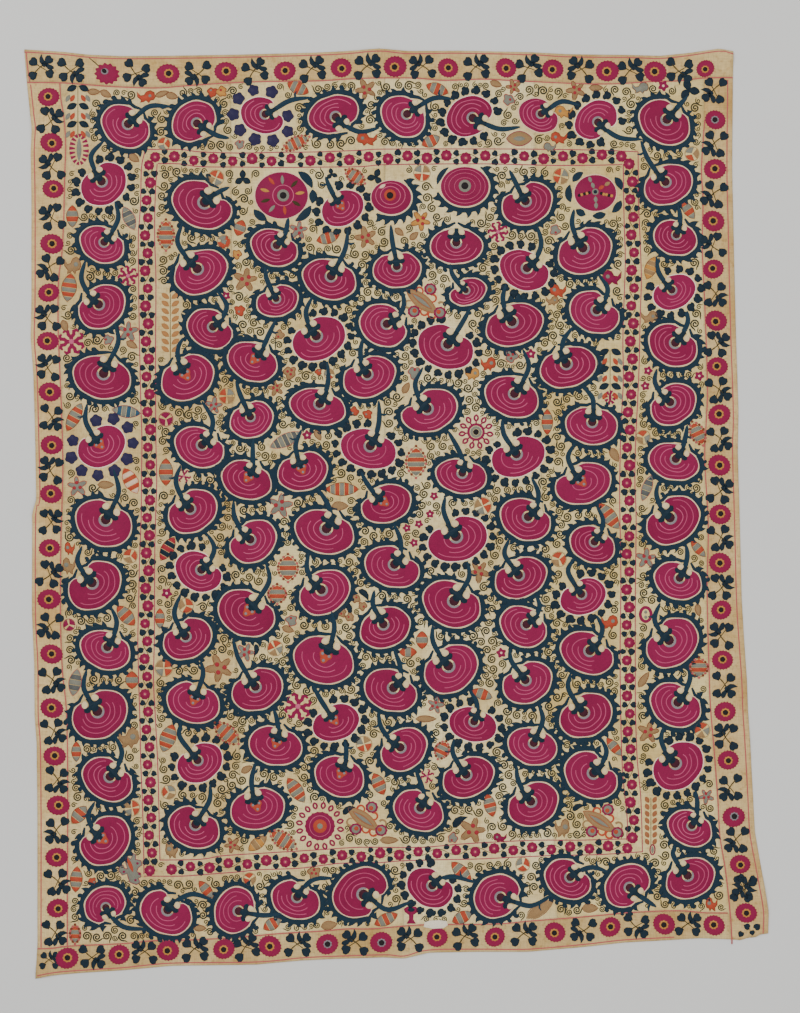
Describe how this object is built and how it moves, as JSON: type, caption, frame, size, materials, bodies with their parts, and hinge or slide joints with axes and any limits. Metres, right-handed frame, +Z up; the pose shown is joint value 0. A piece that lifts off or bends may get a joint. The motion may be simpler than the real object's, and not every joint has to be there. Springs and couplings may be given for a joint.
{
  "type": "suzani embroidered textile",
  "caption": "Large flat wall cloth sewn from narrow cotton strips with separate border bands, embroidered all over with flowers; lies flat, face up.",
  "frame": {"origin": "bottom centre of the laid-out cloth's box, on the surface that it lies on", "axes": "+X towards the cloth's right edge, +Y towards its top edge, +Z up off its face"},
  "size_m": [1.86, 2.3228, 0.005],
  "materials": {
    "border_cotton": "hand-woven cotton, yellowed",
    "field_cotton": "hand-woven cotton with silk embroidery"
  },
  "bodies": {
    "root": {"border_top": "border_cotton", "border_left": "border_cotton", "border_bottom": "border_cotton", "border_right": "border_cotton", "field_strip_1": "field_cotton", "field_strip_2": "field_cotton", "field_strip_3": "field_cotton", "field_strip_4": "field_cotton"}
  },
  "joints": []
}
